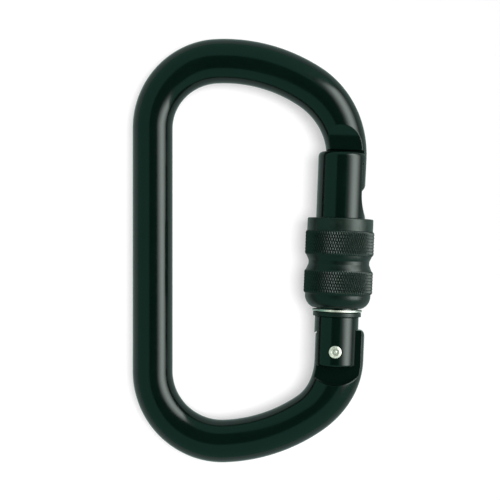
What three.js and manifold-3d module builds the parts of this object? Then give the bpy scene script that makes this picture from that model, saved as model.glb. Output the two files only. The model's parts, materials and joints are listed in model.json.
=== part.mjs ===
// Locking carabiner with a screw sleeve, lying on its side.
// +X points to the gate, +Y along the spine towards the nose, +Z up. Lengths are mm, angles degrees.
import * as THREE from 'three';
import { mergeVertices } from 'three/addons/utils/BufferGeometryUtils.js';
import { LoftGeometry } from 'three/addons/geometries/LoftGeometry.js';
import Module from 'manifold-3d';

const wasm = await Module();
wasm.setup();

// Frame rod: a straight spine and two bends, each bend a run of arcs and a straight end.
const spineX = -26.3;
const spineTop = 32;
const spineBottom = -31.4;
const spineHalfWidth = 5.2;
const rodHalfHeight = 5.2;
const topBend = [
  { radius: 17.4, turn: 87.7, halfWidth: 5.75 },
  { radius: 41, turn: 35.9, halfWidth: 5.7 },
  { radius: 21.3, turn: 58.6, halfWidth: 5.2 },
  { length: 10.5, halfWidth: 5.1 },
];
const bottomBend = [
  { radius: 18.1, turn: 92.6, halfWidth: 5.5 },
  { radius: 42.2, turn: 31.7, halfWidth: 5.5 },
  { radius: 17.9, turn: 53.5, halfWidth: 6.3 },
  { length: 9, halfWidth: 6.3 },
];
const bendStep = 6.5;
const rodSides = 24;

// Gate: its own frame has +Y along the barrel towards the nose and its origin level with the rivet.
const gateX = 21.4;
const gateY = -25.8;
const gateTilt = 2.2;

// Gate barrel, heights measured along it from the rivet.
const lowerRadius = 5.65;
const upperRadius = 6.3;
const barrelBottom = -4;
const barrelTop = 51.3;
const shoulderHeight = 31.5;
const endRound = 1.2;
const endRoundSteps = 3;
const lowerChamfer = 0.5;
const tangSlotHalf = 3;
const tangSlotFloor = { inner: 6.5, outer: 5.75, slopeStart: -3, slopeEnd: [-7, 3.5] };
const springBore = 2.3;
const springBoreTop = 32;
const collarGroove = { radius: 4.9, bottom: 8.9, top: 10.1 };

// Keyhole slot in the gate that takes the nose, open to the outer side.
const slotHalf = 3.5;
const slotNeckHalf = 2.5;
const slotRoundLength = 5.7;
const slotRoundTop = 40.4;
const slotLedge = 48.5;
const slotFloor = -3.6;

// Nose of the frame, a flat T head on a thinner neck.
const noseTip = 40.7;
const noseInner = -3.3;
const noseOuter = 6.1;
const noseInnerTop = 51.6;
const noseInnerRound = 1;
const noseOuterRound = 2.8;
const headHalf = 3.2;
const headTop = 48;
const neckHalf = 2.2;
const neckTop = 51.75;
const scoopStart = 52.9;
const scoopRadius = 7.6;

// Hinge end of the frame: a tang between two round pockets, with a cam for the plunger on top.
const tangHalf = 2.7;
const tangInner = [[-5.5, 4.1], [-4.8, 4.5]];
const pocketRadius = 8.65;
const pocketSides = 48;
const camHeight = 4.9;
const camLeft = 3.8;
const camRight = 2.2;
const tangTop = 5.6;
const tangOuter = 7.25;
const tangCorner = 1.3;

// Rivet, plunger and spring.
const rivetRadius = 1.65;
const rivetHole = 1.95;
const rivetShoulder = 5.35;
const rivetCrown = 5.95;
const dimpleRadius = 0.45;
const dimpleDepth = 0.2;
const plungerTip = 5.15;
const plungerHead = 11;
const plungerTop = 16;
const plungerRadius = 2;
const plungerStem = 1.2;
const springWire = 0.25;
const springRadius = 1.75;
const springBottom = 11.6;
const springTop = 31.4;
const springTurns = 11;

// Screw thread, right-handed: the ridge on the barrel and the wider groove in the sleeve.
const pitch = 2;
const threadSides = 18;
const ridge = { root: 5.2, crest: 6.2, rootHalf: 0.53, crestHalf: 0.22, bottom: 11.6, top: 30.9 };
const groove = { root: 5.6, crest: 6.5, rootHalf: 0.85, crestHalf: 0.5, bottom: 9.6, top: 21.6 };
const threadCore = 5.35;

// Lock sleeve, at the bottom of its travel.
const sleeveBottom = 10.95;
const sleeveTop = 34.2;
const sleeveCap = 8.5;
const knurlRadius = 8.9;
const cupLip = 6;
const cupRadius = 3.4;
const cupCentre = { radius: 5.05, height: 14.25 };
const lowerBand = { bottom: 14.7, top: 20.85 };
const upperBand = { bottom: 24.6, top: 31 };
const bandEdge = 8.5;
const bandChamfer = 0.25;
const waist = { radius: 7.85, bottom: 22.35, top: 23.25 };
const capChamfer = 0.4;
const sleeveMinor = 5.75;
const threadEnd = 19;
const sleeveBore = 6.75;
const dragGroove = { radius: 7.5, bottom: 31.6, top: 33.4 };

// Rings on the barrel.
const collar = { inner: 5.2, outer: 6.2, bottom: 8.95, top: 10 };
const washer = { inner: 5.7, outer: 6.4, bottom: 10.05, top: 10.8 };
const dragRing = { inner: 6.5, outer: 7.2, bottom: 31.9, top: 33.1 };
const turnedSides = 32;
const pinSides = 24;

// How far the cutters run past what they cut.
const clearance = 14;

const rad = THREE.MathUtils.degToRad;

// Closed geometry to a solid: position only, shared vertices merged, collapsed triangles dropped.
function solid(geometry) {
  const bare = geometry.index ? geometry.toNonIndexed() : geometry.clone();
  bare.deleteAttribute('normal');
  bare.deleteAttribute('uv');
  const merged = mergeVertices(bare, 1e-4);
  const corners = [];
  const index = merged.index.array;
  for (let i = 0; i < index.length; i += 3) {
    const [a, b, c] = index.slice(i, i + 3);
    if (a !== b && b !== c && c !== a) corners.push(a, b, c);
  }
  const vertProperties = new Float32Array(merged.attributes.position.array);
  const triVerts = new Uint32Array(corners);
  return new wasm.Manifold(new wasm.Mesh({ numProp: 3, vertProperties, triVerts }));
}

function toGeometry(shape) {
  const { vertProperties, triVerts } = shape.getMesh();
  const geometry = new THREE.BufferGeometry();
  geometry.setAttribute('position', new THREE.BufferAttribute(vertProperties, 3));
  geometry.setIndex(new THREE.BufferAttribute(triVerts, 1));
  geometry.computeVertexNormals();
  return geometry;
}

// Places a cutter drawn in the gate's frame into the frame rod's.
function inRodFrame(geometry) {
  return geometry.rotateZ(rad(-gateTilt)).translate(gateX, gateY, 0);
}

// Solid of revolution about the barrel's axis; points are [radius, height].
function turned(points, sides = turnedSides) {
  return new THREE.LatheGeometry(points.map(([r, h]) => new THREE.Vector2(r, h)), sides);
}

function ring({ inner, outer, bottom, top }) {
  return turned([[inner, bottom], [outer, bottom], [outer, top], [inner, top], [inner, bottom]]);
}

// Outline drawn in height and z, extruded from one x to another.
function sideCut(shape, fromX, toX) {
  const settings = { depth: toX - fromX, bevelEnabled: false, curveSegments: 10 };
  const geometry = new THREE.ExtrudeGeometry(shape, settings);
  const axes = [new THREE.Vector3(0, 1, 0), new THREE.Vector3(0, 0, 1), new THREE.Vector3(1, 0, 0)];
  return geometry.applyMatrix4(new THREE.Matrix4().makeBasis(...axes)).translate(fromX, 0, 0);
}

// Outline drawn in x and height, extruded through the whole thickness.
function throughCut(shape) {
  const settings = { depth: 2 * clearance, bevelEnabled: false, curveSegments: 10 };
  return new THREE.ExtrudeGeometry(shape, settings).translate(0, 0, -clearance);
}

// Walks one bend from the end of the spine. Side is 1 for the top bend, -1 for the bottom one.
function walkBend(bend, startY, side) {
  const at = new THREE.Vector2(spineX, startY);
  let heading = side * 90;
  let halfWidth = spineHalfWidth;
  const stations = [{ at: at.clone(), heading, halfWidth, side }];
  for (const piece of bend) {
    const steps = piece.turn ? Math.round(piece.turn / bendStep) : 1;
    const chord = piece.turn
      ? 2 * piece.radius * Math.sin(rad(piece.turn / steps / 2))
      : piece.length;
    const turn = (piece.turn ?? 0) / steps;
    for (let i = 1; i <= steps; i++) {
      const along = rad(heading - side * turn / 2);
      at.add(new THREE.Vector2(Math.cos(along), Math.sin(along)).multiplyScalar(chord));
      heading -= side * turn;
      const blend = THREE.MathUtils.smoothstep(i / steps, 0, 1);
      const width = THREE.MathUtils.lerp(halfWidth, piece.halfWidth, blend);
      stations.push({ at: at.clone(), heading, halfWidth: width, side });
    }
    halfWidth = piece.halfWidth;
  }
  return stations;
}

function rodSection({ at, heading, halfWidth, side }) {
  const outX = -side * Math.sin(rad(heading));
  const outY = side * Math.cos(rad(heading));
  return Array.from({ length: rodSides }, (_, i) => {
    const angle = i / rodSides * 2 * Math.PI;
    const out = halfWidth * Math.cos(angle);
    return new THREE.Vector3(at.x + outX * out, at.y + outY * out, rodHalfHeight * Math.sin(angle));
  });
}

function rod() {
  const top = walkBend(topBend, spineTop, 1).reverse();
  const bottom = walkBend(bottomBend, spineBottom, -1);
  const sections = [...top, ...bottom].map(rodSection).reverse();
  return new LoftGeometry(sections, { capStart: true, capEnd: true });
}

// Flattens the rod to the head's thickness on one face, thins the neck, and runs out in a scoop.
function noseFaceCut() {
  const shape = new THREE.Shape();
  const start = noseTip - clearance;
  shape.moveTo(start, headHalf);
  shape.lineTo(headTop, headHalf);
  shape.lineTo(headTop, neckHalf);
  shape.lineTo(neckTop, neckHalf);
  shape.lineTo(neckTop, headHalf);
  shape.lineTo(scoopStart, headHalf);
  shape.absarc(scoopStart, headHalf + scoopRadius, scoopRadius, -Math.PI / 2, 0);
  shape.lineTo(scoopStart + scoopRadius, clearance);
  shape.lineTo(start, clearance);
  return sideCut(shape, -clearance, clearance);
}

// Trims the rod's end to the nose: its rounded tip and its inner side.
function noseEndCut() {
  const shape = new THREE.Shape();
  const start = noseTip - clearance;
  const outerTop = noseTip + noseOuterRound;
  const innerTop = noseTip + noseInnerRound;
  shape.moveTo(-clearance, noseInnerTop);
  shape.lineTo(-clearance, start);
  shape.lineTo(clearance, start);
  shape.lineTo(clearance, outerTop);
  shape.lineTo(noseOuter, outerTop);
  shape.absarc(noseOuter - noseOuterRound, outerTop, noseOuterRound, 0, -Math.PI / 2, true);
  shape.absarc(noseInner + noseInnerRound, innerTop, noseInnerRound, -Math.PI / 2, -Math.PI, true);
  shape.lineTo(noseInner, noseInnerTop);
  return throughCut(shape);
}

// Trims the other end to the tang: inner shoulder, the cam's flat, the step beside it and outer corner.
function tangEndCut() {
  const shape = new THREE.Shape();
  const rise = tangTop - camHeight;
  shape.moveTo(-clearance, 0);
  shape.lineTo(tangInner[0][0], 0);
  for (const [x, height] of tangInner) shape.lineTo(x, height);
  shape.lineTo(-camLeft, camHeight);
  shape.lineTo(camRight, camHeight);
  shape.lineTo(camRight + rise, tangTop);
  shape.absarc(tangOuter - tangCorner, tangTop - tangCorner, tangCorner, Math.PI / 2, 0, true);
  shape.lineTo(clearance, tangTop - tangCorner);
  shape.lineTo(clearance, clearance);
  shape.lineTo(-clearance, clearance);
  return throughCut(shape);
}

function pocketCut(face) {
  const pocket = new THREE.CylinderGeometry(pocketRadius, pocketRadius, clearance, pocketSides);
  return pocket.rotateX(Math.PI / 2).translate(0, 0, face * (tangHalf + clearance / 2));
}

function crossHole(radius) {
  return new THREE.CylinderGeometry(radius, radius, 2 * clearance, pinSides).rotateX(Math.PI / 2);
}

function frame() {
  const noseCuts = [noseFaceCut(), noseFaceCut().rotateY(Math.PI), noseEndCut()];
  const hingeCuts = [pocketCut(1), pocketCut(-1), tangEndCut(), crossHole(rivetHole)];
  let shape = solid(rod());
  for (const cut of [...noseCuts, ...hingeCuts]) shape = shape.subtract(solid(inRodFrame(cut)));
  return toGeometry(shape);
}

// Helical bar of trapezoid section round the barrel's axis, rising with a right-handed turn.
function helix({ root, crest, rootHalf, crestHalf, bottom, top }) {
  const steps = Math.round((top - bottom) / pitch * threadSides);
  const section = [[root, rootHalf], [crest, crestHalf], [crest, -crestHalf], [root, -rootHalf]];
  const sections = [];
  for (let i = 0; i <= steps; i++) {
    const height = bottom + (top - bottom) * i / steps;
    const angle = height / pitch * 2 * Math.PI;
    sections.push(section.map(([r, h]) => (
      new THREE.Vector3(r * Math.sin(angle), height + h, r * Math.cos(angle)))));
  }
  return new LoftGeometry(sections, { capStart: true, capEnd: true });
}

function noseSlotCut() {
  const shape = new THREE.Shape();
  shape.moveTo(slotRoundTop, -slotHalf);
  shape.lineTo(slotLedge, -slotHalf);
  shape.lineTo(slotLedge, -slotNeckHalf);
  shape.lineTo(barrelTop + clearance, -slotNeckHalf);
  shape.lineTo(barrelTop + clearance, slotNeckHalf);
  shape.lineTo(slotLedge, slotNeckHalf);
  shape.lineTo(slotLedge, slotHalf);
  shape.lineTo(slotRoundTop, slotHalf);
  shape.absellipse(slotRoundTop, 0, slotRoundLength, slotHalf, Math.PI / 2, Math.PI * 1.5);
  return sideCut(shape, slotFloor, clearance);
}

// Slot for the tang, its floor sloping down at the inner side to follow the tang as the gate swings.
function tangSlotCut() {
  const { inner, outer, slopeStart, slopeEnd } = tangSlotFloor;
  const shape = new THREE.Shape();
  shape.moveTo(slopeEnd[0], -clearance);
  shape.lineTo(clearance, -clearance);
  shape.lineTo(clearance, outer);
  shape.lineTo(springBore, outer);
  shape.lineTo(springBore, inner);
  shape.lineTo(slopeStart, inner);
  shape.lineTo(...slopeEnd);
  const settings = { depth: 2 * tangSlotHalf, bevelEnabled: false };
  return new THREE.ExtrudeGeometry(shape, settings).translate(0, 0, -tangSlotHalf);
}

function gateBarrel() {
  const profile = [
    [0, barrelBottom],
    [lowerRadius - lowerChamfer, barrelBottom],
    [lowerRadius, barrelBottom + lowerChamfer],
    [lowerRadius, collarGroove.bottom],
    [collarGroove.radius, collarGroove.bottom],
    [collarGroove.radius, collarGroove.top],
    [threadCore, collarGroove.top],
    [threadCore, shoulderHeight],
    [upperRadius, shoulderHeight],
  ];
  for (let i = 0; i <= endRoundSteps; i++) {
    const angle = i / endRoundSteps * Math.PI / 2;
    const r = upperRadius - endRound * (1 - Math.cos(angle));
    profile.push([r, barrelTop - endRound * (1 - Math.sin(angle))]);
  }
  profile.push([0, barrelTop]);
  const bore = new THREE.CylinderGeometry(springBore, springBore, springBoreTop, pinSides);
  bore.translate(0, springBoreTop / 2, 0);
  let shape = solid(turned(profile)).add(solid(helix(ridge)));
  for (const cut of [tangSlotCut(), bore, noseSlotCut(), crossHole(rivetHole)]) {
    shape = shape.subtract(solid(cut));
  }
  return toGeometry(shape);
}

// Rivet along z through both cheeks and the tang, with a small dimple in each domed end.
function hingeRivet() {
  const end = [[rivetRadius, rivetShoulder]];
  const arcSteps = 4;
  for (let i = 1; i <= arcSteps; i++) {
    const r = rivetRadius + (dimpleRadius - rivetRadius) * i / arcSteps;
    end.push([r, rivetCrown - (rivetCrown - rivetShoulder) * (r / rivetRadius) ** 2]);
  }
  end.push([0, rivetCrown - dimpleDepth]);
  const mirrored = end.map(([r, h]) => [r, -h]).reverse();
  return turned([...mirrored, ...end], pinSides).rotateX(Math.PI / 2);
}

function springPlunger() {
  const edge = 0.25;
  return turned([
    [0, plungerTip],
    [plungerRadius - edge, plungerTip],
    [plungerRadius, plungerTip + edge],
    [plungerRadius, plungerHead],
    [plungerStem, plungerHead],
    [plungerStem, plungerTop],
    [0, plungerTop],
  ], pinSides);
}

class Coil extends THREE.Curve {
  getPoint(t, target = new THREE.Vector3()) {
    const angle = t * springTurns * 2 * Math.PI;
    const height = THREE.MathUtils.lerp(springBottom, springTop, t);
    return target.set(springRadius * Math.sin(angle), height, springRadius * Math.cos(angle));
  }
}

function gateSpring() {
  const wire = new THREE.Shape();
  wire.absarc(0, 0, springWire, 0, 2 * Math.PI);
  const steps = springTurns * 12;
  const settings = { steps, bevelEnabled: false, curveSegments: 3, extrudePath: new Coil() };
  return new THREE.ExtrudeGeometry(wire, settings);
}

// Sleeve: rounded cup at the bottom, two knurl bands with a waist between, a plain cap on top.
function lockSleeve() {
  const outer = [[sleeveMinor, sleeveBottom]];
  const cupSteps = 5;
  const cupStart = Math.acos((cupLip - cupCentre.radius) / cupRadius);
  for (let i = 0; i <= cupSteps; i++) {
    const angle = cupStart * (1 - i / cupSteps);
    const r = cupCentre.radius + cupRadius * Math.cos(angle);
    outer.push([r, cupCentre.height - cupRadius * Math.sin(angle)]);
  }
  outer.push(
    [cupCentre.radius + cupRadius, lowerBand.bottom],
    [knurlRadius, lowerBand.bottom + bandChamfer],
    [knurlRadius, lowerBand.top - bandChamfer],
    [bandEdge, lowerBand.top],
    [waist.radius, waist.bottom],
    [waist.radius, waist.top],
    [bandEdge, upperBand.bottom],
    [knurlRadius, upperBand.bottom + bandChamfer],
    [knurlRadius, upperBand.top - bandChamfer],
    [sleeveCap, upperBand.top],
    [sleeveCap, sleeveTop - capChamfer],
    [sleeveCap - capChamfer, sleeveTop],
  );
  const inner = [
    [sleeveBore, sleeveTop],
    [sleeveBore, dragGroove.top],
    [dragGroove.radius, dragGroove.top],
    [dragGroove.radius, dragGroove.bottom],
    [sleeveBore, dragGroove.bottom],
    [sleeveBore, threadEnd],
    [sleeveMinor, threadEnd],
    [sleeveMinor, sleeveBottom],
  ];
  const blank = turned([...outer, ...inner]);
  return toGeometry(solid(blank).subtract(solid(helix(groove))));
}

function piece(name, geometry, color, roughness, metalness) {
  const material = new THREE.MeshStandardMaterial({ color, roughness, metalness });
  const mesh = new THREE.Mesh(geometry, material);
  mesh.name = name;
  return mesh;
}

const carabiner = new THREE.Group();
carabiner.position.z = knurlRadius;

const gate = new THREE.Group();
gate.position.set(gateX, gateY, 0);
gate.rotation.z = rad(-gateTilt);

gate.add(
  piece('gate_barrel', gateBarrel(), 0x1b1f1f, 0.28, 0.8),
  piece('hinge_rivet', hingeRivet(), 0xd8dadb, 0.25, 1),
  piece('gate_spring', gateSpring(), 0xb9bcbe, 0.3, 1),
  piece('spring_plunger', springPlunger(), 0xc9cbcc, 0.3, 1),
  piece('retaining_collar', ring(collar), 0x1b1f1f, 0.35, 0.8),
  piece('thrust_washer', ring(washer), 0xe4e6e6, 0.2, 1),
  piece('lock_sleeve', lockSleeve(), 0x1f2423, 0.4, 0.8),
  piece('drag_ring', ring(dragRing), 0x2b2b2a, 0.6, 0),
);
carabiner.add(piece('frame', frame(), 0x1b1f1f, 0.25, 0.8), gate);

export default carabiner;
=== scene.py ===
import json
import math

import bmesh
import bpy
import numpy as np
from mathutils import Matrix, Vector


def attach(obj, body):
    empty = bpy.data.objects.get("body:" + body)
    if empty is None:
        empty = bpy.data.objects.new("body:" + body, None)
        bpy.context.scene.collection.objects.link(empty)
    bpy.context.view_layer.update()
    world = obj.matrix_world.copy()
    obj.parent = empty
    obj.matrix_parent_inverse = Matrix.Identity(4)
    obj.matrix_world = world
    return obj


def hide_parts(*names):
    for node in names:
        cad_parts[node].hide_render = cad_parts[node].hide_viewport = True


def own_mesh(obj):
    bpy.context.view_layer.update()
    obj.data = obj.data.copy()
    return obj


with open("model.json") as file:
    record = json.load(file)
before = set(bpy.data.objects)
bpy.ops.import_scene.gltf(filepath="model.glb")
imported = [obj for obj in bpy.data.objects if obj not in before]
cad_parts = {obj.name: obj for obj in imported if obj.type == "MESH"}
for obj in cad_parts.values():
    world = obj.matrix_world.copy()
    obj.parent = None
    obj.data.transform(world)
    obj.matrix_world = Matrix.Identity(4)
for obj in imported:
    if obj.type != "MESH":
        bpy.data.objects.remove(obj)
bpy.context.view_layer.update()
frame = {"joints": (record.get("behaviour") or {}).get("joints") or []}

scene = bpy.context.scene
mm = 0.001

# The gate's own frame: +Y runs up the barrel from the rivet, +X to the outside, all lengths in mm
screw = next(joint for joint in frame["joints"] if joint["name"] == "sleeve_turn")
gateOrigin = Vector(screw["pos_m"])
gateAxis = Vector(screw["axis"]).normalized()
gateMatrix = Matrix.Translation(gateOrigin) @ Matrix.Rotation(-math.atan2(gateAxis.x, gateAxis.y), 4, "Z")
rodMatrix = Matrix.Translation((0, 0, gateOrigin.z))  # rod and gate share this mid plane


def meshObject(name, points, faces, matrix):
    mesh = bpy.data.meshes.new(name)
    mesh.from_pydata((np.asarray(points, float) * mm).tolist(), [], faces)
    work = bmesh.new()
    work.from_mesh(mesh)
    bmesh.ops.remove_doubles(work, verts=work.verts, dist=0.0004 * mm)  # closes poles and run-outs
    if work.calc_volume(signed=True) < 0:
        bmesh.ops.reverse_faces(work, faces=work.faces)
    work.to_mesh(mesh)
    work.free()
    piece = bpy.data.objects.new(name, mesh)
    piece.matrix_world = matrix
    scene.collection.objects.link(piece)
    return piece


def arc(centre, radius, start, end, steps):
    angles = np.radians(np.linspace(start, end, steps + 1))
    across, along = radius if isinstance(radius, tuple) else (radius, radius)
    return [(centre[0] + across * math.cos(a), centre[1] + along * math.sin(a)) for a in angles]


# Outline corners given as (x, y, fillet) are rounded, the others stay sharp
def filleted(outline, steps=4):
    rounded = []
    for i, corner in enumerate(outline):
        here = Vector(corner[:2])
        if len(corner) == 2:
            rounded.append(tuple(here))
            continue
        before = (Vector(outline[i - 1][:2]) - here).normalized()
        after = (Vector(outline[(i + 1) % len(outline)][:2]) - here).normalized()
        reach = corner[2] / math.tan(before.angle(after) / 2)
        for t in np.linspace(0, 1, steps + 1):
            # a quadratic curve is close enough to an arc at this size
            point = here + before * reach * (1 - t) ** 2 + after * reach * t ** 2
            rounded.append(tuple(point))
    return rounded


# Rows of (radius, height), each a number or one value per column, turned about +Y. Rows of a thread,
# given as helix (first, last, rows per turn), climb one turn where the last column meets the first
def turnedObject(name, rows, columns, closed, matrix=gateMatrix, splits=None, helix=None):
    def beside(i, j):
        if j == columns - 1 and helix and helix[0] <= i <= helix[1]:
            i = min(max(i + helix[2], helix[0]), helix[1])
        return i * columns + (j + 1) % columns

    angle = np.arange(columns) * 2 * math.pi / columns
    points = []
    for radius, height in rows:
        ring = np.stack(np.broadcast_arrays(radius * np.sin(angle), height, radius * np.cos(angle)), axis=1)
        points.append(ring)
    faces = []
    for i in range(len(rows) if closed else len(rows) - 1):
        for j in range(columns):
            above = (i + 1) % len(rows)
            low = (i * columns + j, beside(i, j))
            high = (above * columns + j, beside(above, j))
            if splits is None or i not in splits:
                faces.append((low[0], low[1], high[1], high[0]))
            elif splits[i][j]:
                faces += [(low[0], low[1], high[1]), (low[0], high[1], high[0])]
            else:
                faces += [(low[0], low[1], high[0]), (low[1], high[1], high[0])]
    return meshObject(name, np.concatenate(points), faces, matrix)


# Outline in (y, z) run along X, or in (x, y) run along Z
def prism(outline, direction, start, end, matrix=gateMatrix):
    count = len(outline)
    points = []
    for level in (start, end):
        points += [(level, a, b) if direction == "x" else (a, b, level) for a, b in outline]
    faces = [tuple(range(count - 1, -1, -1)), tuple(range(count, 2 * count))]
    for i in range(count):
        following = (i + 1) % count
        faces.append((i, following, count + following, count + i))
    return meshObject("cutter", points, faces, matrix)


def cutAway(piece, cutters):
    for cutter in cutters:
        step = piece.modifiers.new("cut", "BOOLEAN")
        step.operation = "DIFFERENCE"
        step.solver = "EXACT"
        step.object = cutter
    bpy.context.view_layer.update()
    depsgraph = bpy.context.evaluated_depsgraph_get()
    made = bpy.data.meshes.new_from_object(piece.evaluated_get(depsgraph))
    piece.modifiers.clear()
    piece.data = made
    for cutter in cutters:
        bpy.data.objects.remove(cutter)


def finishPiece(piece, node, body, material, sharpAngle=32):
    piece.data.shade_smooth()
    piece.data.set_sharp_from_angle(angle=math.radians(sharpAngle))
    piece.data.materials.clear()
    piece.data.materials.append(material)
    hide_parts(node)
    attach(piece, body)
    print("piece", piece.name, len(piece.data.vertices), "vertices")


def linearColour(hexText):
    channels = [int(hexText[i:i + 2], 16) / 255 for i in (1, 3, 5)]
    return [c / 12.92 if c <= 0.04045 else ((c + 0.055) / 1.055) ** 2.4 for c in channels] + [1.0]


def addNode(tree, kind, settings=None, inputs=None):
    node = tree.nodes.new(kind)
    for name, value in (settings or {}).items():
        setattr(node, name, value)
    for name, value in (inputs or {}).items():
        if isinstance(value, bpy.types.NodeSocket):
            tree.links.new(value, node.inputs[name])
        else:
            node.inputs[name].default_value = value
    return node


def perMetre(sizeInMm):
    return 1 / (sizeInMm * mm)


# The wave texture counts 20 radians to a unit
def waveScale(sizeInMm):
    return perMetre(sizeInMm) / 20


def newMaterial(name):
    material = bpy.data.materials.new(name)
    material.use_nodes = True
    tree = material.node_tree
    tree.nodes.clear()
    shader = addNode(tree, "ShaderNodeBsdfPrincipled")
    addNode(tree, "ShaderNodeOutputMaterial", {}, {"Surface": shader.outputs["BSDF"]})
    place = addNode(tree, "ShaderNodeTexCoord").outputs["Object"]
    return material, tree, shader, place


# Sulphuric anodised aluminium rod, tumbled bright and dyed black: a clear glassy oxide over a
# green-black dye, so it mirrors softly, with the faintest ripple and fine handling marks
glossAnodised = {
    "dye": "#030b08",
    "dyePale": "#07130f",
    "patch": 9.0,        # mm, slow drift of the dye
    "marks": 2.25,       # mm, handling marks
    "ripple": 1.6,       # mm, tumbling leaves a slight ripple
    "rippleDepth": 0.0012,
    "grain": 0.12,       # mm, etched grain of the metal, drawn a little coarse to show
    "grainDepth": 0.0003,
    "roughness": (0.13, 0.2),
    "edgeRadius": 0.4,   # mm, edges catch the light as if rounded this much
}


def glossAnodisedAluminium():
    spec = glossAnodised
    material, tree, shader, place = newMaterial("gloss black anodised aluminium")
    patches = addNode(tree, "ShaderNodeTexNoise", {}, {
        "Vector": place, "Scale": perMetre(spec["patch"]), "Detail": 3.0})
    dye = addNode(tree, "ShaderNodeMix", {"data_type": "RGBA"}, {"Factor": patches.outputs["Fac"]})
    dye.inputs[6].default_value = linearColour(spec["dye"])
    dye.inputs[7].default_value = linearColour(spec["dyePale"])
    grain = addNode(tree, "ShaderNodeTexNoise", {}, {
        "Vector": place, "Scale": perMetre(spec["grain"]), "Detail": 2.0})
    ripple = addNode(tree, "ShaderNodeTexNoise", {}, {
        "Vector": place, "Scale": perMetre(spec["ripple"]), "Detail": 1.0})
    marks = addNode(tree, "ShaderNodeTexNoise", {}, {
        "Vector": place, "Scale": perMetre(spec["marks"]), "Detail": 6.0, "Roughness": 0.7})
    low, high = spec["roughness"]
    rough = addNode(tree, "ShaderNodeMapRange", {}, {
        "Value": marks.outputs["Fac"], "From Min": 0.35, "From Max": 0.7, "To Min": low, "To Max": high})
    soft = addNode(tree, "ShaderNodeBevel", {"samples": 8}, {"Radius": spec["edgeRadius"] * mm})
    waved = addNode(tree, "ShaderNodeBump", {}, {
        "Height": ripple.outputs["Fac"], "Distance": spec["rippleDepth"] * mm,
        "Normal": soft.outputs["Normal"]})
    grained = addNode(tree, "ShaderNodeBump", {}, {
        "Height": grain.outputs["Fac"], "Distance": spec["grainDepth"] * mm,
        "Normal": waved.outputs["Normal"]})
    tree.links.new(dye.outputs[2], shader.inputs["Base Color"])
    tree.links.new(rough.outputs["Result"], shader.inputs["Roughness"])
    tree.links.new(grained.outputs["Normal"], shader.inputs["Normal"])
    return material


# The same oxide over a bead-blasted, turned and knurled part: satin, with the dye rubbed paler on
# the knurl's points and fine turning lines round the plain bands
satinAnodised = {
    "dye": "#07100d",
    "rubbed": "#3c4a43",
    "grain": 0.1,        # mm, blasted texture
    "grainDepth": 0.0035,
    "turning": 0.16,     # mm a radian, so a lathe line every 1.0 mm, drawn coarse to show
    "turningDepth": 0.0012,
    "blotch": 1.2,       # mm, uneven rubbing and sheen
    "roughness": (0.27, 0.4),
    "edgeRadius": 0.06,
}


def satinAnodisedAluminium():
    spec = satinAnodised
    material, tree, shader, place = newMaterial("satin black anodised aluminium")
    geometry = addNode(tree, "ShaderNodeNewGeometry")
    worn = addNode(tree, "ShaderNodeMapRange", {}, {
        "Value": geometry.outputs["Pointiness"], "From Min": 0.5, "From Max": 0.6})
    blotch = addNode(tree, "ShaderNodeTexNoise", {}, {
        "Vector": place, "Scale": perMetre(spec["blotch"]), "Detail": 4.0})
    uneven = addNode(tree, "ShaderNodeMath", {"operation": "MULTIPLY"})
    tree.links.new(worn.outputs["Result"], uneven.inputs[0])
    tree.links.new(blotch.outputs["Fac"], uneven.inputs[1])
    dye = addNode(tree, "ShaderNodeMix", {"data_type": "RGBA"}, {"Factor": uneven.outputs["Value"]})
    dye.inputs[6].default_value = linearColour(spec["dye"])
    dye.inputs[7].default_value = linearColour(spec["rubbed"])
    grain = addNode(tree, "ShaderNodeTexNoise", {}, {
        "Vector": place, "Scale": perMetre(spec["grain"]), "Detail": 3.0})
    turning = addNode(tree, "ShaderNodeTexWave", {"wave_type": "BANDS", "bands_direction": "Y"}, {
        "Vector": place, "Scale": waveScale(spec["turning"]), "Distortion": 0.6, "Detail": 1.0})
    low, high = spec["roughness"]
    rough = addNode(tree, "ShaderNodeMapRange", {}, {
        "Value": blotch.outputs["Fac"], "From Min": 0.3, "From Max": 0.7, "To Min": low, "To Max": high})
    soft = addNode(tree, "ShaderNodeBevel", {"samples": 4}, {"Radius": spec["edgeRadius"] * mm})
    turned = addNode(tree, "ShaderNodeBump", {}, {
        "Height": turning.outputs["Fac"], "Distance": spec["turningDepth"] * mm,
        "Normal": soft.outputs["Normal"]})
    grained = addNode(tree, "ShaderNodeBump", {}, {
        "Height": grain.outputs["Fac"], "Distance": spec["grainDepth"] * mm,
        "Normal": turned.outputs["Normal"]})
    tree.links.new(dye.outputs[2], shader.inputs["Base Color"])
    tree.links.new(rough.outputs["Result"], shader.inputs["Roughness"])
    tree.links.new(grained.outputs["Normal"], shader.inputs["Normal"])
    return material


# Bare metals differ in colour, polish and tool marks, so one function makes them from a dictionary
stainlessSteel = {
    "name": "barrel finished stainless steel",  # a soft white gleam, no sharp mirror
    "metal": "#d9d8d4",
    "tarnish": "#b4b3ae",
    "roughness": (0.36, 0.5),
    "patch": 0.8,         # mm
    "marks": 0.09,        # mm, tumbling scratches, drawn coarse to show
    "stretch": (1, 1, 1),
    "marksDepth": 0.0012,
}
springSteel = {
    "name": "drawn spring steel",  # grey, with the die's fine lines along the wire
    "metal": "#a3a4a5",
    "tarnish": "#77787a",
    "roughness": (0.22, 0.34),
    "patch": 1.5,
    "marks": 0.08,
    "stretch": (0.2, 1, 0.2),
    "marksDepth": 0.001,
}


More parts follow.
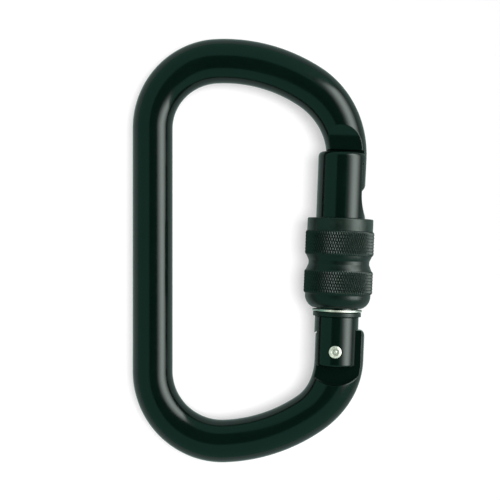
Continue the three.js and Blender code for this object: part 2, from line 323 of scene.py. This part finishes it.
def bareMetal(spec):
    material, tree, shader, place = newMaterial(spec["name"])
    shader.inputs["Metallic"].default_value = 1.0
    patches = addNode(tree, "ShaderNodeTexNoise", {}, {
        "Vector": place, "Scale": perMetre(spec["patch"]), "Detail": 4.0})
    colour = addNode(tree, "ShaderNodeMix", {"data_type": "RGBA"}, {"Factor": patches.outputs["Fac"]})
    colour.inputs[6].default_value = linearColour(spec["metal"])
    colour.inputs[7].default_value = linearColour(spec["tarnish"])
    stretched = addNode(tree, "ShaderNodeMapping", {}, {"Vector": place, "Scale": spec["stretch"]})
    marks = addNode(tree, "ShaderNodeTexNoise", {}, {
        "Vector": stretched.outputs["Vector"], "Scale": perMetre(spec["marks"]), "Detail": 3.0})
    low, high = spec["roughness"]
    rough = addNode(tree, "ShaderNodeMapRange", {}, {
        "Value": patches.outputs["Fac"], "From Min": 0.3, "From Max": 0.7, "To Min": low, "To Max": high})
    scratched = addNode(tree, "ShaderNodeBump", {}, {
        "Height": marks.outputs["Fac"], "Distance": spec["marksDepth"] * mm})
    tree.links.new(colour.outputs[2], shader.inputs["Base Color"])
    tree.links.new(rough.outputs["Result"], shader.inputs["Roughness"])
    tree.links.new(scratched.outputs["Normal"], shader.inputs["Normal"])
    return material


# Turned acetal: dull, slightly waxy black plastic with faint lathe lines
acetalSpec = {
    "plastic": "#12120f",
    "pale": "#1c1c19",
    "cloud": 0.7,         # mm, slight mottling of the bar stock
    "turning": 0.12,      # mm a radian, so a lathe line every 0.75 mm
    "turningDepth": 0.002,
    "roughness": (0.38, 0.5),
}


def turnedAcetal():
    spec = acetalSpec
    material, tree, shader, place = newMaterial("turned black acetal")
    cloud = addNode(tree, "ShaderNodeTexNoise", {}, {
        "Vector": place, "Scale": perMetre(spec["cloud"]), "Detail": 3.0})
    colour = addNode(tree, "ShaderNodeMix", {"data_type": "RGBA"}, {"Factor": cloud.outputs["Fac"]})
    colour.inputs[6].default_value = linearColour(spec["plastic"])
    colour.inputs[7].default_value = linearColour(spec["pale"])
    lines = addNode(tree, "ShaderNodeTexWave", {"wave_type": "BANDS", "bands_direction": "Y"}, {
        "Vector": place, "Scale": waveScale(spec["turning"]), "Distortion": 0.4})
    low, high = spec["roughness"]
    rough = addNode(tree, "ShaderNodeMapRange", {}, {
        "Value": cloud.outputs["Fac"], "From Min": 0.3, "From Max": 0.7, "To Min": low, "To Max": high})
    ridged = addNode(tree, "ShaderNodeBump", {}, {
        "Height": lines.outputs["Fac"], "Distance": spec["turningDepth"] * mm})
    tree.links.new(colour.outputs[2], shader.inputs["Base Color"])
    tree.links.new(rough.outputs["Result"], shader.inputs["Roughness"])
    tree.links.new(ridged.outputs["Normal"], shader.inputs["Normal"])
    return material


gloss = glossAnodisedAluminium()
satin = satinAnodisedAluminium()
stainless = bareMetal(stainlessSteel)
wireSteel = bareMetal(springSteel)
acetal = turnedAcetal()
print("materials ready")

# Frame: a round rod bent to an offset D, milled to a flat nose at the top and a tang at the bottom
frameSpec = {
    "spine": {"x": -26.3, "top": 32.0, "bottom": -31.4, "halfWidth": 5.2},
    "halfHeight": 5.2,
    "topBend": [(17.4, 87.7, 5.75), (41.0, 35.9, 5.7), (21.3, 58.6, 5.2)],  # radius, turn, half width
    "topEnd": (10.5, 5.1),                                                  # length, half width
    "bottomBend": [(18.1, 92.6, 5.5), (42.2, 31.7, 5.5), (17.9, 53.5, 6.3)],
    "bottomEnd": (9.0, 6.3),
    "stepAngle": 2.0,
    "straightSteps": 12,
    "sides": 96,
    "nose": {"tip": 40.7, "inner": -3.3, "outer": 6.1, "innerTop": 51.6, "innerRound": 1.0,
             "outerRound": 2.8, "headHalf": 3.2, "headTop": 48.0, "neckHalf": 2.2,
             "neckTop": 51.75, "scoopStart": 52.9, "scoopRadius": 7.6},
    "tang": {"half": 2.3, "pocket": 8.65, "inner": [(-5.9, 3.5), (-5.5, 4.1), (-4.8, 4.5)],
             "cam": 4.9, "camLeft": 3.8, "camRight": 2.2, "top": 5.6, "outer": 7.25, "corner": 1.3},
    "rivetHole": 1.95,   # clear of the rivet, which turns with the gate
    "reach": 14.0,   # cutters run this far past what they cut
}


# Stations (x, y, heading, half width) along one bend, from the end of the spine; side is 1 or -1
def bendStations(bend, end, startY, side):
    spec = frameSpec
    x, y, heading = spec["spine"]["x"], startY, side * 90.0
    width = spec["spine"]["halfWidth"]
    stations = [(x, y, heading, width)]
    for radius, turn, nextWidth in bend:
        steps = round(turn / spec["stepAngle"])
        chord = 2 * radius * math.sin(math.radians(turn / steps / 2))
        for i in range(1, steps + 1):
            along = math.radians(heading - side * turn / steps / 2)
            x, y = x + chord * math.cos(along), y + chord * math.sin(along)
            heading -= side * turn / steps
            t = i / steps
            stations.append((x, y, heading, width + (nextWidth - width) * t * t * (3 - 2 * t)))
        width = nextWidth
    length, nextWidth = end
    along = math.radians(heading)
    for t in (0.25, 0.5, 0.75, 1):
        here = (x + length * t * math.cos(along), y + length * t * math.sin(along))
        stations.append((*here, heading, width + (nextWidth - width) * t * t * (3 - 2 * t)))
    return stations


def rodObject():
    spec = frameSpec
    spine = spec["spine"]
    top = [(*s, 1) for s in bendStations(spec["topBend"], spec["topEnd"], spine["top"], 1)]
    bottom = [(*s, -1) for s in bendStations(spec["bottomBend"], spec["bottomEnd"], spine["bottom"], -1)]
    between = np.linspace(spine["top"], spine["bottom"], spec["straightSteps"] + 1)[1:-1]
    straight = [(spine["x"], y, 90.0, spine["halfWidth"], 1) for y in between]
    sides = spec["sides"]
    around = np.arange(sides) * 2 * math.pi / sides
    points = []
    for x, y, heading, halfWidth, side in [*top[::-1], *straight, *bottom]:
        outX, outY = -side * math.sin(math.radians(heading)), side * math.cos(math.radians(heading))
        out = halfWidth * np.cos(around)
        points.append(np.stack([x + outX * out, y + outY * out, spec["halfHeight"] * np.sin(around)], axis=1))
    count = len(points)
    faces = [tuple(range(sides)), tuple(range(count * sides - 1, (count - 1) * sides - 1, -1))]
    for i in range(count - 1):
        for j in range(sides):
            k = (j + 1) % sides
            faces.append((i * sides + j, (i + 1) * sides + j, (i + 1) * sides + k, i * sides + k))
    return meshObject("frame_rod", np.concatenate(points), faces, rodMatrix)


def frameCutters():
    spec = frameSpec
    nose, tang, reach = spec["nose"], spec["tang"], spec["reach"]
    scoop = arc((nose["scoopStart"], nose["headHalf"] + nose["scoopRadius"]), nose["scoopRadius"], -90, 0, 40)
    face = [(nose["tip"] - reach, nose["headHalf"]), (nose["headTop"], nose["headHalf"]),
            (nose["headTop"], nose["neckHalf"]), (nose["neckTop"], nose["neckHalf"]),
            (nose["neckTop"], nose["headHalf"]), *scoop,
            (nose["scoopStart"] + nose["scoopRadius"], reach), (nose["tip"] - reach, reach)]
    outerTop, innerTop = nose["tip"] + nose["outerRound"], nose["tip"] + nose["innerRound"]
    tip = [(-reach, nose["innerTop"]), (-reach, nose["tip"] - reach), (reach, nose["tip"] - reach),
           (reach, outerTop),
           *arc((nose["outer"] - nose["outerRound"], outerTop), nose["outerRound"], 0, -90, 14),
           *arc((nose["inner"] + nose["innerRound"], innerTop), nose["innerRound"], -90, -180, 8),
           (nose["inner"], nose["innerTop"])]
    rise = tang["top"] - tang["cam"]
    end = [(-reach, 0), (tang["inner"][0][0], 0), *tang["inner"], (-tang["camLeft"], tang["cam"]),
           (tang["camRight"], tang["cam"]), (tang["camRight"] + rise, tang["top"]),
           *arc((tang["outer"] - tang["corner"], tang["top"] - tang["corner"]), tang["corner"], 90, 0, 8),
           (reach, tang["top"] - tang["corner"]), (reach, reach), (-reach, reach)]
    pocket = arc((0, 0), tang["pocket"], 0, 360, 128)[:-1]
    hole = arc((0, 0), spec["rivetHole"], 0, 360, 48)[:-1]
    return [
        prism(face, "x", -reach, reach),
        prism([(a, -b) for a, b in face], "x", -reach, reach),
        prism(tip, "z", -reach, reach),
        prism(end, "z", -reach, reach),
        prism(pocket, "z", tang["half"], reach),
        prism(pocket, "z", -reach, -tang["half"]),
        prism(hole, "z", -reach, reach),
    ]


rod = rodObject()
cutAway(rod, frameCutters())
finishPiece(rod, "frame", "frame", gloss)

# Gate barrel: stepped round bar with a thread, slotted for the tang below and keyholed for the nose
barrelSpec = {
    "lower": 5.65, "upper": 6.3, "bottom": -4.0, "top": 51.3, "shoulder": 31.5,
    "endRound": 1.2, "lowerChamfer": 0.5,
    "groove": (4.9, 8.9, 10.1),           # radius, bottom, top of the ring groove
    "rivetHole": 1.605,                   # the rivet is tight in the cheeks
    "tangSlot": {"half": 2.6, "floor": [(2.3, 5.75), (2.3, 6.5), (-3.0, 6.5), (-7.0, 3.5)]},
    "bore": (2.3, 32.0),                  # radius, top
    "core": 5.35,
    "nose": {"half": 3.5, "neckHalf": 2.5, "roundLength": 5.7, "roundTop": 40.4, "ledge": 48.5,
             "floor": -3.6},
    "columns": 144,
}
threadPitch = 2.0
ridgeSpec = {"root": 5.35, "crest": 6.2, "rootHalf": 0.48, "crestHalf": 0.22,
             "bottom": 11.6, "top": 30.9, "fade": 0.3}
grooveSpec = {"root": 5.75, "crest": 6.5, "rootHalf": 0.79, "crestHalf": 0.5,
              "bottom": 8.0, "top": 40.0, "fade": 0.8}   # both ends run out past the sleeve's thread


# Rows that follow the right-handed helix between two heights, four rows a turn
def threadRows(thread, bottom, top, columns):
    lead = np.arange(columns) / columns * threadPitch
    offsets = (-thread["rootHalf"], -thread["crestHalf"], thread["crestHalf"], thread["rootHalf"])
    rows = []
    for turn in range(math.floor(bottom / threadPitch) - 1, math.ceil(top / threadPitch) + 1):
        for offset in offsets:
            height = np.clip(turn * threadPitch + lead + offset, bottom, top)
            centre = np.round((height - lead) / threadPitch) * threadPitch + lead
            away = np.abs(height - centre)
            share = (thread["rootHalf"] - away) / (thread["rootHalf"] - thread["crestHalf"])
            ends = np.minimum(centre - thread["bottom"], thread["top"] - centre) / thread["fade"]
            share = np.clip(share, 0, 1) * np.clip(ends, 0, 1)
            rows.append((thread["root"] + (thread["crest"] - thread["root"]) * share, height))
    return rows


def barrelObject():
    spec = barrelSpec
    nose = spec["nose"]
    radius, low, high = spec["groove"]
    lower = filleted([(0, spec["bottom"]), (spec["lower"] - spec["lowerChamfer"], spec["bottom"], 0.2),
                      (spec["lower"], spec["bottom"] + spec["lowerChamfer"], 0.3), (spec["lower"], low, 0.1),
                      (radius, low), (radius, high), (spec["core"], high), (spec["core"], high + 0.1)])
    thread = threadRows(ridgeSpec, high + 0.1, spec["shoulder"] - 0.1, spec["columns"])
    corner = (spec["upper"] - spec["endRound"], spec["top"] - spec["endRound"])
    upper = filleted([(spec["core"], spec["shoulder"] - 0.1), (spec["core"], spec["shoulder"]),
                      (spec["upper"], spec["shoulder"], 0.15), (spec["upper"], corner[1] - 1)])
    crown = arc(corner, spec["endRound"], 0, 90, 10)
    helix = (len(lower), len(lower) + len(thread) - 1, 4)
    rows = [*lower, *thread, *upper, *crown, (0, spec["top"])]
    barrel = turnedObject("gate_body", rows, spec["columns"], False, helix=helix)
    reach = frameSpec["reach"]
    floor = spec["tangSlot"]["floor"]
    tangSlot = [(floor[-1][0], -reach), (reach, -reach), (reach, floor[0][1]), *floor]
    keyEnd = arc((nose["roundTop"], 0), (nose["roundLength"], nose["half"]), 90, 270, 40)
    keyhole = [*keyEnd, (nose["ledge"], -nose["half"]), (nose["ledge"], -nose["neckHalf"]),
               (spec["top"] + reach, -nose["neckHalf"]), (spec["top"] + reach, nose["neckHalf"]),
               (nose["ledge"], nose["neckHalf"]), (nose["ledge"], nose["half"])]
    boreRadius, boreTop = spec["bore"]
    drillPoint = boreTop + boreRadius * 0.6  # the blunt cone a drill leaves
    boreRows = [(0, 0), (boreRadius, 0), (boreRadius, boreTop), (0, drillPoint)]
    hole = arc((0, 0), spec["rivetHole"], 0, 360, 64)[:-1]
    cutAway(barrel, [
        prism(tangSlot, "z", -spec["tangSlot"]["half"], spec["tangSlot"]["half"]),
        prism(keyhole, "x", nose["floor"], reach),
        turnedObject("cutter", boreRows, 48, False),
        prism(hole, "z", -reach, reach),
    ])
    return barrel


finishPiece(barrelObject(), "gate_barrel", "gate", gloss)

# Lock sleeve: a rounded cup, two diamond-knurled bands with a waist between, and a plain cap
sleeveSpec = {
    "bottom": 11.15, "top": 34.2, "lip": 6.446,
    "mouth": (6.3, 12.3, 12.6),           # radius, top, where the thread starts
    "cup": {"radius": 3.4, "centre": (5.05, 14.25), "steps": 20},
    "bands": ((14.7, 20.85), (24.6, 31.0)),
    "knurl": {"radius": 8.9, "edge": 8.45, "chamfer": 0.38, "depth": 0.25, "flat": 1.1,
              "round": 84, "tall": 4, "steps": 6},   # diamonds round and up a band, grid steps each
    "waist": {"radius": 7.85, "bottom": 22.35, "top": 23.25, "edge": 8.45, "step": 0.05},
    "cap": {"radius": 8.5, "round": 0.4},
    "bore": 6.75, "threadTop": 19.0,
    "runOut": 0.9,                        # the bore narrows to the thread over this height
    "dragGroove": (7.5, 31.6, 33.4),
}


# Rows of one knurled band and, for each, which way its cells split, so both groove families stay straight
def knurlRows(bottom, top):
    knurl = sleeveSpec["knurl"]
    steps = knurl["steps"]
    across = np.arange(knurl["round"] * steps)
    rise = (top - bottom) / knurl["tall"] / steps
    rows, splits = [], []
    for i in range(knurl["tall"] * steps + 1):
        height = bottom + i * rise
        risingWall = 2 * np.abs((across - i) / steps - np.round((across - i) / steps))
        fallingWall = 2 * np.abs((across + i) / steps - np.round((across + i) / steps))
        share = np.minimum(1, knurl["flat"] * np.minimum(risingWall, fallingWall))
        chamfer = min(1, min(height - bottom, top - height) / knurl["chamfer"])
        envelope = knurl["edge"] + (knurl["radius"] - knurl["edge"]) * max(0, chamfer)
        rows.append((np.minimum(envelope, knurl["radius"] - knurl["depth"] * (1 - share)), height))
        nextFalling = 2 * np.abs((across + i + 1) / steps - np.round((across + i + 1) / steps))
        splits.append(risingWall < nextFalling)
    return rows, splits[:-1]


def sleeveObject():
    spec = sleeveSpec
    knurl, waist, cap, cup = spec["knurl"], spec["waist"], spec["cap"], spec["cup"]
    columns = knurl["round"] * knurl["steps"]
    start = math.degrees(math.acos((spec["lip"] - cup["centre"][0]) / cup["radius"]))
    mouth, mouthTop, threadBottom = spec["mouth"]
    rows = [(mouth, spec["bottom"]), *arc(cup["centre"], cup["radius"], -start, 0, cup["steps"])]
    splits = {}
    (lowBottom, lowTop), (highBottom, highTop) = spec["bands"]
    between = filleted([(waist["edge"], lowTop), (waist["edge"], lowTop + waist["step"]),
                        (waist["radius"], waist["bottom"], 0.5), (waist["radius"], waist["top"], 0.5),
                        (waist["edge"], highBottom - waist["step"]), (waist["edge"], highBottom)], 6)
    above = filleted([(cap["radius"], highTop), (cap["radius"], spec["top"], cap["round"]),
                      (spec["bore"], spec["top"], 0.15), (spec["bore"], spec["dragGroove"][2])])
    for band, following in (((lowBottom, lowTop), between[1:-1]), ((highBottom, highTop), above)):
        bandRows, bandSplits = knurlRows(*band)
        for i, split in enumerate(bandSplits):
            splits[len(rows) + i] = split
        rows += [*bandRows, *following]
    radius, low, high = spec["dragGroove"]
    rows += [(radius, high), (radius, low), (spec["bore"], low),
             (spec["bore"], spec["threadTop"] + spec["runOut"])]
    thread = threadRows(grooveSpec, threadBottom, spec["threadTop"], columns)[::-1]
    helix = (len(rows), len(rows) + len(thread) - 1, -4)
    rows += [*thread, (mouth, mouthTop)]
    return turnedObject("sleeve_body", rows, columns, True, splits=splits, helix=helix)


finishPiece(sleeveObject(), "lock_sleeve", "sleeve", satin, 60)


# Small turned parts: rings, rivet, plunger
ringColumns = 128
pinColumns = 64


def ringObject(name, inner, outer, bottom, top, edge):
    outline = [(inner, bottom, edge), (outer, bottom, edge), (outer, top, edge), (inner, top, edge)]
    return turnedObject(name, filleted(outline), ringColumns, True)


ringSpecs = {
    "washer": {"inner": 5.7, "outer": 6.4, "bottom": 10.2, "top": 10.74, "edge": 0.08},
    "collar": {"inner": 5.2, "outer": 6.2, "bottom": 8.95, "top": 10.0, "edge": 0.12},
    "drag": {"inner": 6.5, "outer": 7.2, "bottom": 31.9, "top": 33.1, "edge": 0.2},
}
finishPiece(ringObject("washer", **ringSpecs["washer"]), "thrust_washer", "gate", stainless)
finishPiece(ringObject("collar", **ringSpecs["collar"]), "retaining_collar", "gate", satin)
finishPiece(ringObject("drag_liner", **ringSpecs["drag"]), "drag_ring", "sleeve_carrier", acetal)

rivetSpec = {"radius": 1.6, "shoulder": 5.55, "crown": 5.88,
             "dimple": 0.66, "dimpleWidth": 0.2, "dimpleDepth": 0.34,   # ring left by the riveting punch
             "rows": 28}


def rivetObject():
    spec = rivetSpec
    dome = []
    for r in np.linspace(spec["radius"], 0, spec["rows"]):
        dip = spec["dimpleDepth"] * math.exp(-((r - spec["dimple"]) / spec["dimpleWidth"]) ** 2)
        dome.append((r, spec["crown"] - (spec["crown"] - spec["shoulder"]) * (r / spec["radius"]) ** 2 - dip))
    rows = [*[(r, -h) for r, h in dome[::-1]], *dome]
    upright = gateMatrix @ Matrix.Rotation(math.radians(90), 4, "X")
    return turnedObject("rivet_pin", rows, pinColumns, False, upright)


finishPiece(rivetObject(), "hinge_rivet", "gate", stainless)

plungerSpec = {"tip": 5.15, "head": 11.0, "top": 16.0, "radius": 2.0, "stem": 1.2, "edge": 0.25}


def plungerObject():
    spec = plungerSpec
    outline = [(0, spec["tip"]), (spec["radius"], spec["tip"], spec["edge"]),
               (spec["radius"], spec["head"], 0.15), (spec["stem"], spec["head"], 0.15),
               (spec["stem"], spec["top"], spec["edge"]), (0, spec["top"])]
    return turnedObject("plunger_pin", filleted(outline), pinColumns, False)


finishPiece(plungerObject(), "spring_plunger", "plunger", stainless)

# Compression spring with closed end coils, from the plunger's shoulder to the end of the bore
springSpec = {"wire": 0.25, "radius": 1.75, "bottom": 11.6, "top": 31.4, "turns": 11, "closedPitch": 0.52,
              "steps": 40, "sides": 12,
              "keep": 0.939}   # share of its length left when the plunger is right in


def springObject():
    spec = springSpec
    active = spec["turns"] - 2
    knots = [0, 1, 1 + active, spec["turns"]]
    heights = [spec["bottom"], spec["bottom"] + spec["closedPitch"],
               spec["top"] - spec["closedPitch"], spec["top"]]
    around = np.arange(spec["sides"]) * 2 * math.pi / spec["sides"]
    count = spec["turns"] * spec["steps"] + 1
    points = []
    for turn in np.linspace(0, spec["turns"], count):
        angle = turn * 2 * math.pi
        radius = spec["radius"] + spec["wire"] * np.cos(around)
        height = np.interp(turn, knots, heights) + spec["wire"] * np.sin(around)
        points.append(np.stack([radius * math.sin(angle), height, radius * math.cos(angle)], axis=1))
    sides = spec["sides"]
    faces = [tuple(range(sides)), tuple(range(count * sides - 1, (count - 1) * sides - 1, -1))]
    for i in range(count - 1):
        for j in range(sides):
            k = (j + 1) % sides
            faces.append((i * sides + j, (i + 1) * sides + j, (i + 1) * sides + k, i * sides + k))
    return meshObject("return_spring", np.concatenate(points), faces, gateMatrix)


spring = springObject()
finishPiece(spring, "gate_spring", "gate", wireSteel)
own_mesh(spring)
print("pieces placed")

# Stage: it lies on the sleeve and the spine, so the floor leans a little to the object.
# One big softbox stands to the right, the room all round is dim green, and a dimmer green flag hangs
# overhead
stageSpec = {
    "sleeveX": 22.3,
    "gap": 0.02,     # mm between the floor and the object
    "target": (-0.78, 0.23), "distance": 350.0, "field": 130.0,
    "floorSize": 3000.0, "floorColour": "#bebebe", "floorGlow": 0.49, "floorMirrored": "#9db6b0",
    "floorRoughness": (0.85, 0.95), "fibre": 3.0,
    "room": "#6fb9a2", "fill": "#8f8f8f",
    "softbox": {"tilt": 57.0, "swing": 15.0, "distance": 540.0, "size": (720.0, 820.0),
                "spread": 213.0, "softEnd": 90.0, "radiance": 5.6, "colour": "#f0fff8"},
    "flag": {"centre": (-2.0, 15.0), "size": (145.0, 210.0), "height": 182.0, "colour": "#2c5f4f"},
    "steelLight": {"height": 420.0, "tilt": 0.0, "size": 900.0, "radiance": 1.6, "colour": "#fff2e8"},
    "floorLight": {"height": 2400.0, "tilt": 12.0, "size": 1000.0, "radiance": 19.0, "colour": "#ffffff"},
}
pieceNames = ["frame_rod", "gate_body", "sleeve_body", "washer", "collar", "drag_liner", "rivet_pin",
              "plunger_pin", "return_spring"]


def meshPlane(name, size, matrix, material):
    mesh = bpy.data.meshes.new(name)
    halfX, halfY = size[0] / 2 * mm, size[1] / 2 * mm
    corners = [(-halfX, -halfY, 0), (halfX, -halfY, 0), (halfX, halfY, 0), (-halfX, halfY, 0)]
    mesh.from_pydata(corners, [], [(0, 1, 2, 3)])
    mesh.materials.append(material)
    plane = bpy.data.objects.new(name, mesh)
    plane.matrix_world = matrix
    scene.collection.objects.link(plane)
    return plane


# Pale matt board, lit from behind too so that it stays white round the object. What the gloss mirrors
# of it is greener, like the room
def paleBoard():
    material, tree, shader, place = newMaterial("pale matt board")
    fibre = addNode(tree, "ShaderNodeTexNoise", {}, {
        "Vector": place, "Scale": perMetre(stageSpec["fibre"]), "Detail": 4.0})
    low, high = stageSpec["floorRoughness"]
    rough = addNode(tree, "ShaderNodeMapRange", {}, {
        "Value": fibre.outputs["Fac"], "To Min": low, "To Max": high})
    rays = addNode(tree, "ShaderNodeLightPath")
    colour = addNode(tree, "ShaderNodeMix", {"data_type": "RGBA"}, {"Factor": rays.outputs["Is Camera Ray"]})
    colour.inputs[6].default_value = linearColour(stageSpec["floorMirrored"])
    colour.inputs[7].default_value = linearColour(stageSpec["floorColour"])
    glow = addNode(tree, "ShaderNodeMath", {"operation": "MULTIPLY"})
    tree.links.new(rays.outputs["Is Camera Ray"], glow.inputs[0])
    glow.inputs[1].default_value = stageSpec["floorGlow"]
    tree.links.new(colour.outputs[2], shader.inputs["Base Color"])
    shader.inputs["Specular IOR Level"].default_value = 0.0
    shader.inputs["Emission Color"].default_value = (1, 1, 1, 1)
    tree.links.new(glow.outputs["Value"], shader.inputs["Emission Strength"])
    tree.links.new(rough.outputs["Result"], shader.inputs["Roughness"])
    return material


# A softbox is brightest in the middle and fades to its sides
def softboxFront():
    spec = stageSpec["softbox"]
    material = bpy.data.materials.new("softbox front")
    material.use_nodes = True
    tree = material.node_tree
    tree.nodes.clear()
    place = addNode(tree, "ShaderNodeTexCoord").outputs["Object"]
    parts = addNode(tree, "ShaderNodeSeparateXYZ", {}, {"Vector": place})
    across = addNode(tree, "ShaderNodeMath", {"operation": "DIVIDE"})
    tree.links.new(parts.outputs["X"], across.inputs[0])
    across.inputs[1].default_value = spec["spread"] * mm
    squared = addNode(tree, "ShaderNodeMath", {"operation": "MULTIPLY"})
    tree.links.new(across.outputs["Value"], squared.inputs[0])
    tree.links.new(across.outputs["Value"], squared.inputs[1])
    fade = addNode(tree, "ShaderNodeMath", {"operation": "POWER"})
    fade.inputs[0].default_value = math.exp(-1)
    tree.links.new(squared.outputs["Value"], fade.inputs[1])
    along = addNode(tree, "ShaderNodeMath", {"operation": "ABSOLUTE"})
    tree.links.new(parts.outputs["Y"], along.inputs[0])
    half = spec["size"][1] / 2
    ends = addNode(tree, "ShaderNodeMapRange", {"interpolation_type": "SMOOTHSTEP"}, {
        "Value": along.outputs["Value"], "From Min": (half - spec["softEnd"]) * mm, "From Max": half * mm,
        "To Min": spec["radiance"], "To Max": 0.0})
    strength = addNode(tree, "ShaderNodeMath", {"operation": "MULTIPLY"})
    tree.links.new(fade.outputs["Value"], strength.inputs[0])
    tree.links.new(ends.outputs["Result"], strength.inputs[1])
    light = addNode(tree, "ShaderNodeEmission", {}, {
        "Color": linearColour(spec["colour"]), "Strength": strength.outputs["Value"]})
    addNode(tree, "ShaderNodeOutputMaterial", {}, {"Surface": light.outputs["Emission"]})
    return material


# Matt card with a dim green glow, which the gloss mirrors as a dark green straight above
def greenFlag():
    material, _, shader, _ = newMaterial("dim green flag")
    shader.inputs["Base Color"].default_value = (0, 0, 0, 1)
    shader.inputs["Specular IOR Level"].default_value = 0.0
    shader.inputs["Emission Color"].default_value = linearColour(stageSpec["flag"]["colour"])
    shader.inputs["Emission Strength"].default_value = 1.0
    return material


# Works for a lamp and for a glowing panel
def lightOnly(source, receivers):
    group = bpy.data.collections.new(source.name + " receivers")
    for name in receivers:
        group.objects.link(bpy.data.objects[name])
    source.light_linking.receiver_collection = group


# A square lamp straight above or leaning to the right, which lights only the objects named
def addLamp(name, stage, spec, receivers):
    data = bpy.data.lights.new(name, "AREA")
    data.shape = "SQUARE"
    data.size = spec["size"] * mm
    data.energy = spec["radiance"] * math.pi * data.size ** 2
    data.color = linearColour(spec["colour"])[:3]
    lamp = bpy.data.objects.new(name, data)
    lean = Matrix.Rotation(math.radians(spec["tilt"]), 4, "Y")
    lamp.matrix_world = stage @ lean @ Matrix.Translation((0, 0, spec["height"] * mm))
    lamp.visible_camera = False
    scene.collection.objects.link(lamp)
    lightOnly(lamp, receivers)


def buildStage():
    spec = stageSpec
    centreHeight = gateOrigin.z / mm
    spineX, spineRadius = frameSpec["spine"]["x"], frameSpec["halfHeight"]
    sleeveRadius = sleeveSpec["knurl"]["radius"]
    lean = math.asin((sleeveRadius - spineRadius) / (spec["sleeveX"] - spineX))
    turn = Matrix.Rotation(lean, 4, "Y")
    normal = turn @ Vector((0, 0, 1))
    drop = normal.dot(Vector((spineX, 0, centreHeight))) - spineRadius - spec["gap"]
    stage = Matrix.Translation(normal * drop * mm) @ turn
    meshPlane("floor", (spec["floorSize"], spec["floorSize"]), stage, paleBoard())

    flagSpec = spec["flag"]
    flagPlace = stage @ Matrix.Translation(Vector((*flagSpec["centre"], flagSpec["height"])) * mm)
    flag = meshPlane("overhead flag", flagSpec["size"], flagPlace, greenFlag())
    flag.visible_camera = flag.visible_diffuse = flag.visible_shadow = flag.visible_transmission = False

    softboxSpec = spec["softbox"]
    tilt, swing = math.radians(softboxSpec["tilt"]), math.radians(softboxSpec["swing"])
    towards = Vector((math.sin(tilt) * math.cos(swing), math.sin(tilt) * math.sin(swing), math.cos(tilt)))
    up = Vector((0, 0, 1))
    side = up.cross(towards).normalized()
    facing = Matrix((side.cross(towards), side, towards)).transposed().to_4x4()
    softboxPlace = stage @ Matrix.Translation(towards * softboxSpec["distance"] * mm) @ facing
    softbox = meshPlane("softbox", softboxSpec["size"], softboxPlace, softboxFront())
    softbox.visible_camera = False
    lightOnly(softbox, pieceNames)
    addLamp("steel light", stage, spec["steelLight"], ["rivet_pin", "washer"])
    addLamp("floor light", stage, spec["floorLight"], ["floor"])

    data = bpy.data.cameras.new("camera")
    data.sensor_width = 36
    data.lens = data.sensor_width * spec["distance"] / spec["field"]
    camera = bpy.data.objects.new("camera", data)
    target = Vector((*spec["target"], centreHeight))
    camera.matrix_world = Matrix.Translation((target + normal * spec["distance"]) * mm) @ turn
    scene.collection.objects.link(camera)
    scene.camera = camera


# The gloss mirrors a dim green room, while everything else gets a neutral fill
def buildWorld():
    world = bpy.data.worlds.new("studio")
    scene.world = world
    world.use_nodes = True
    tree = world.node_tree
    tree.nodes.clear()
    rays = addNode(tree, "ShaderNodeLightPath")
    room = addNode(tree, "ShaderNodeBackground", {}, {"Color": linearColour(stageSpec["room"])})
    fill = addNode(tree, "ShaderNodeBackground", {}, {"Color": linearColour(stageSpec["fill"])})
    pale = addNode(tree, "ShaderNodeBackground", {}, {"Color": (1, 1, 1, 1)})
    glossy = addNode(tree, "ShaderNodeMixShader", {}, {"Fac": rays.outputs["Is Glossy Ray"]})
    tree.links.new(fill.outputs["Background"], glossy.inputs[1])
    tree.links.new(room.outputs["Background"], glossy.inputs[2])
    seen = addNode(tree, "ShaderNodeMixShader", {}, {"Fac": rays.outputs["Is Camera Ray"]})
    tree.links.new(glossy.outputs["Shader"], seen.inputs[1])
    tree.links.new(pale.outputs["Background"], seen.inputs[2])
    addNode(tree, "ShaderNodeOutputWorld", {}, {"Surface": seen.outputs["Shader"]})


buildStage()
buildWorld()
scene.view_settings.view_transform = "Standard"
print("stage ready")
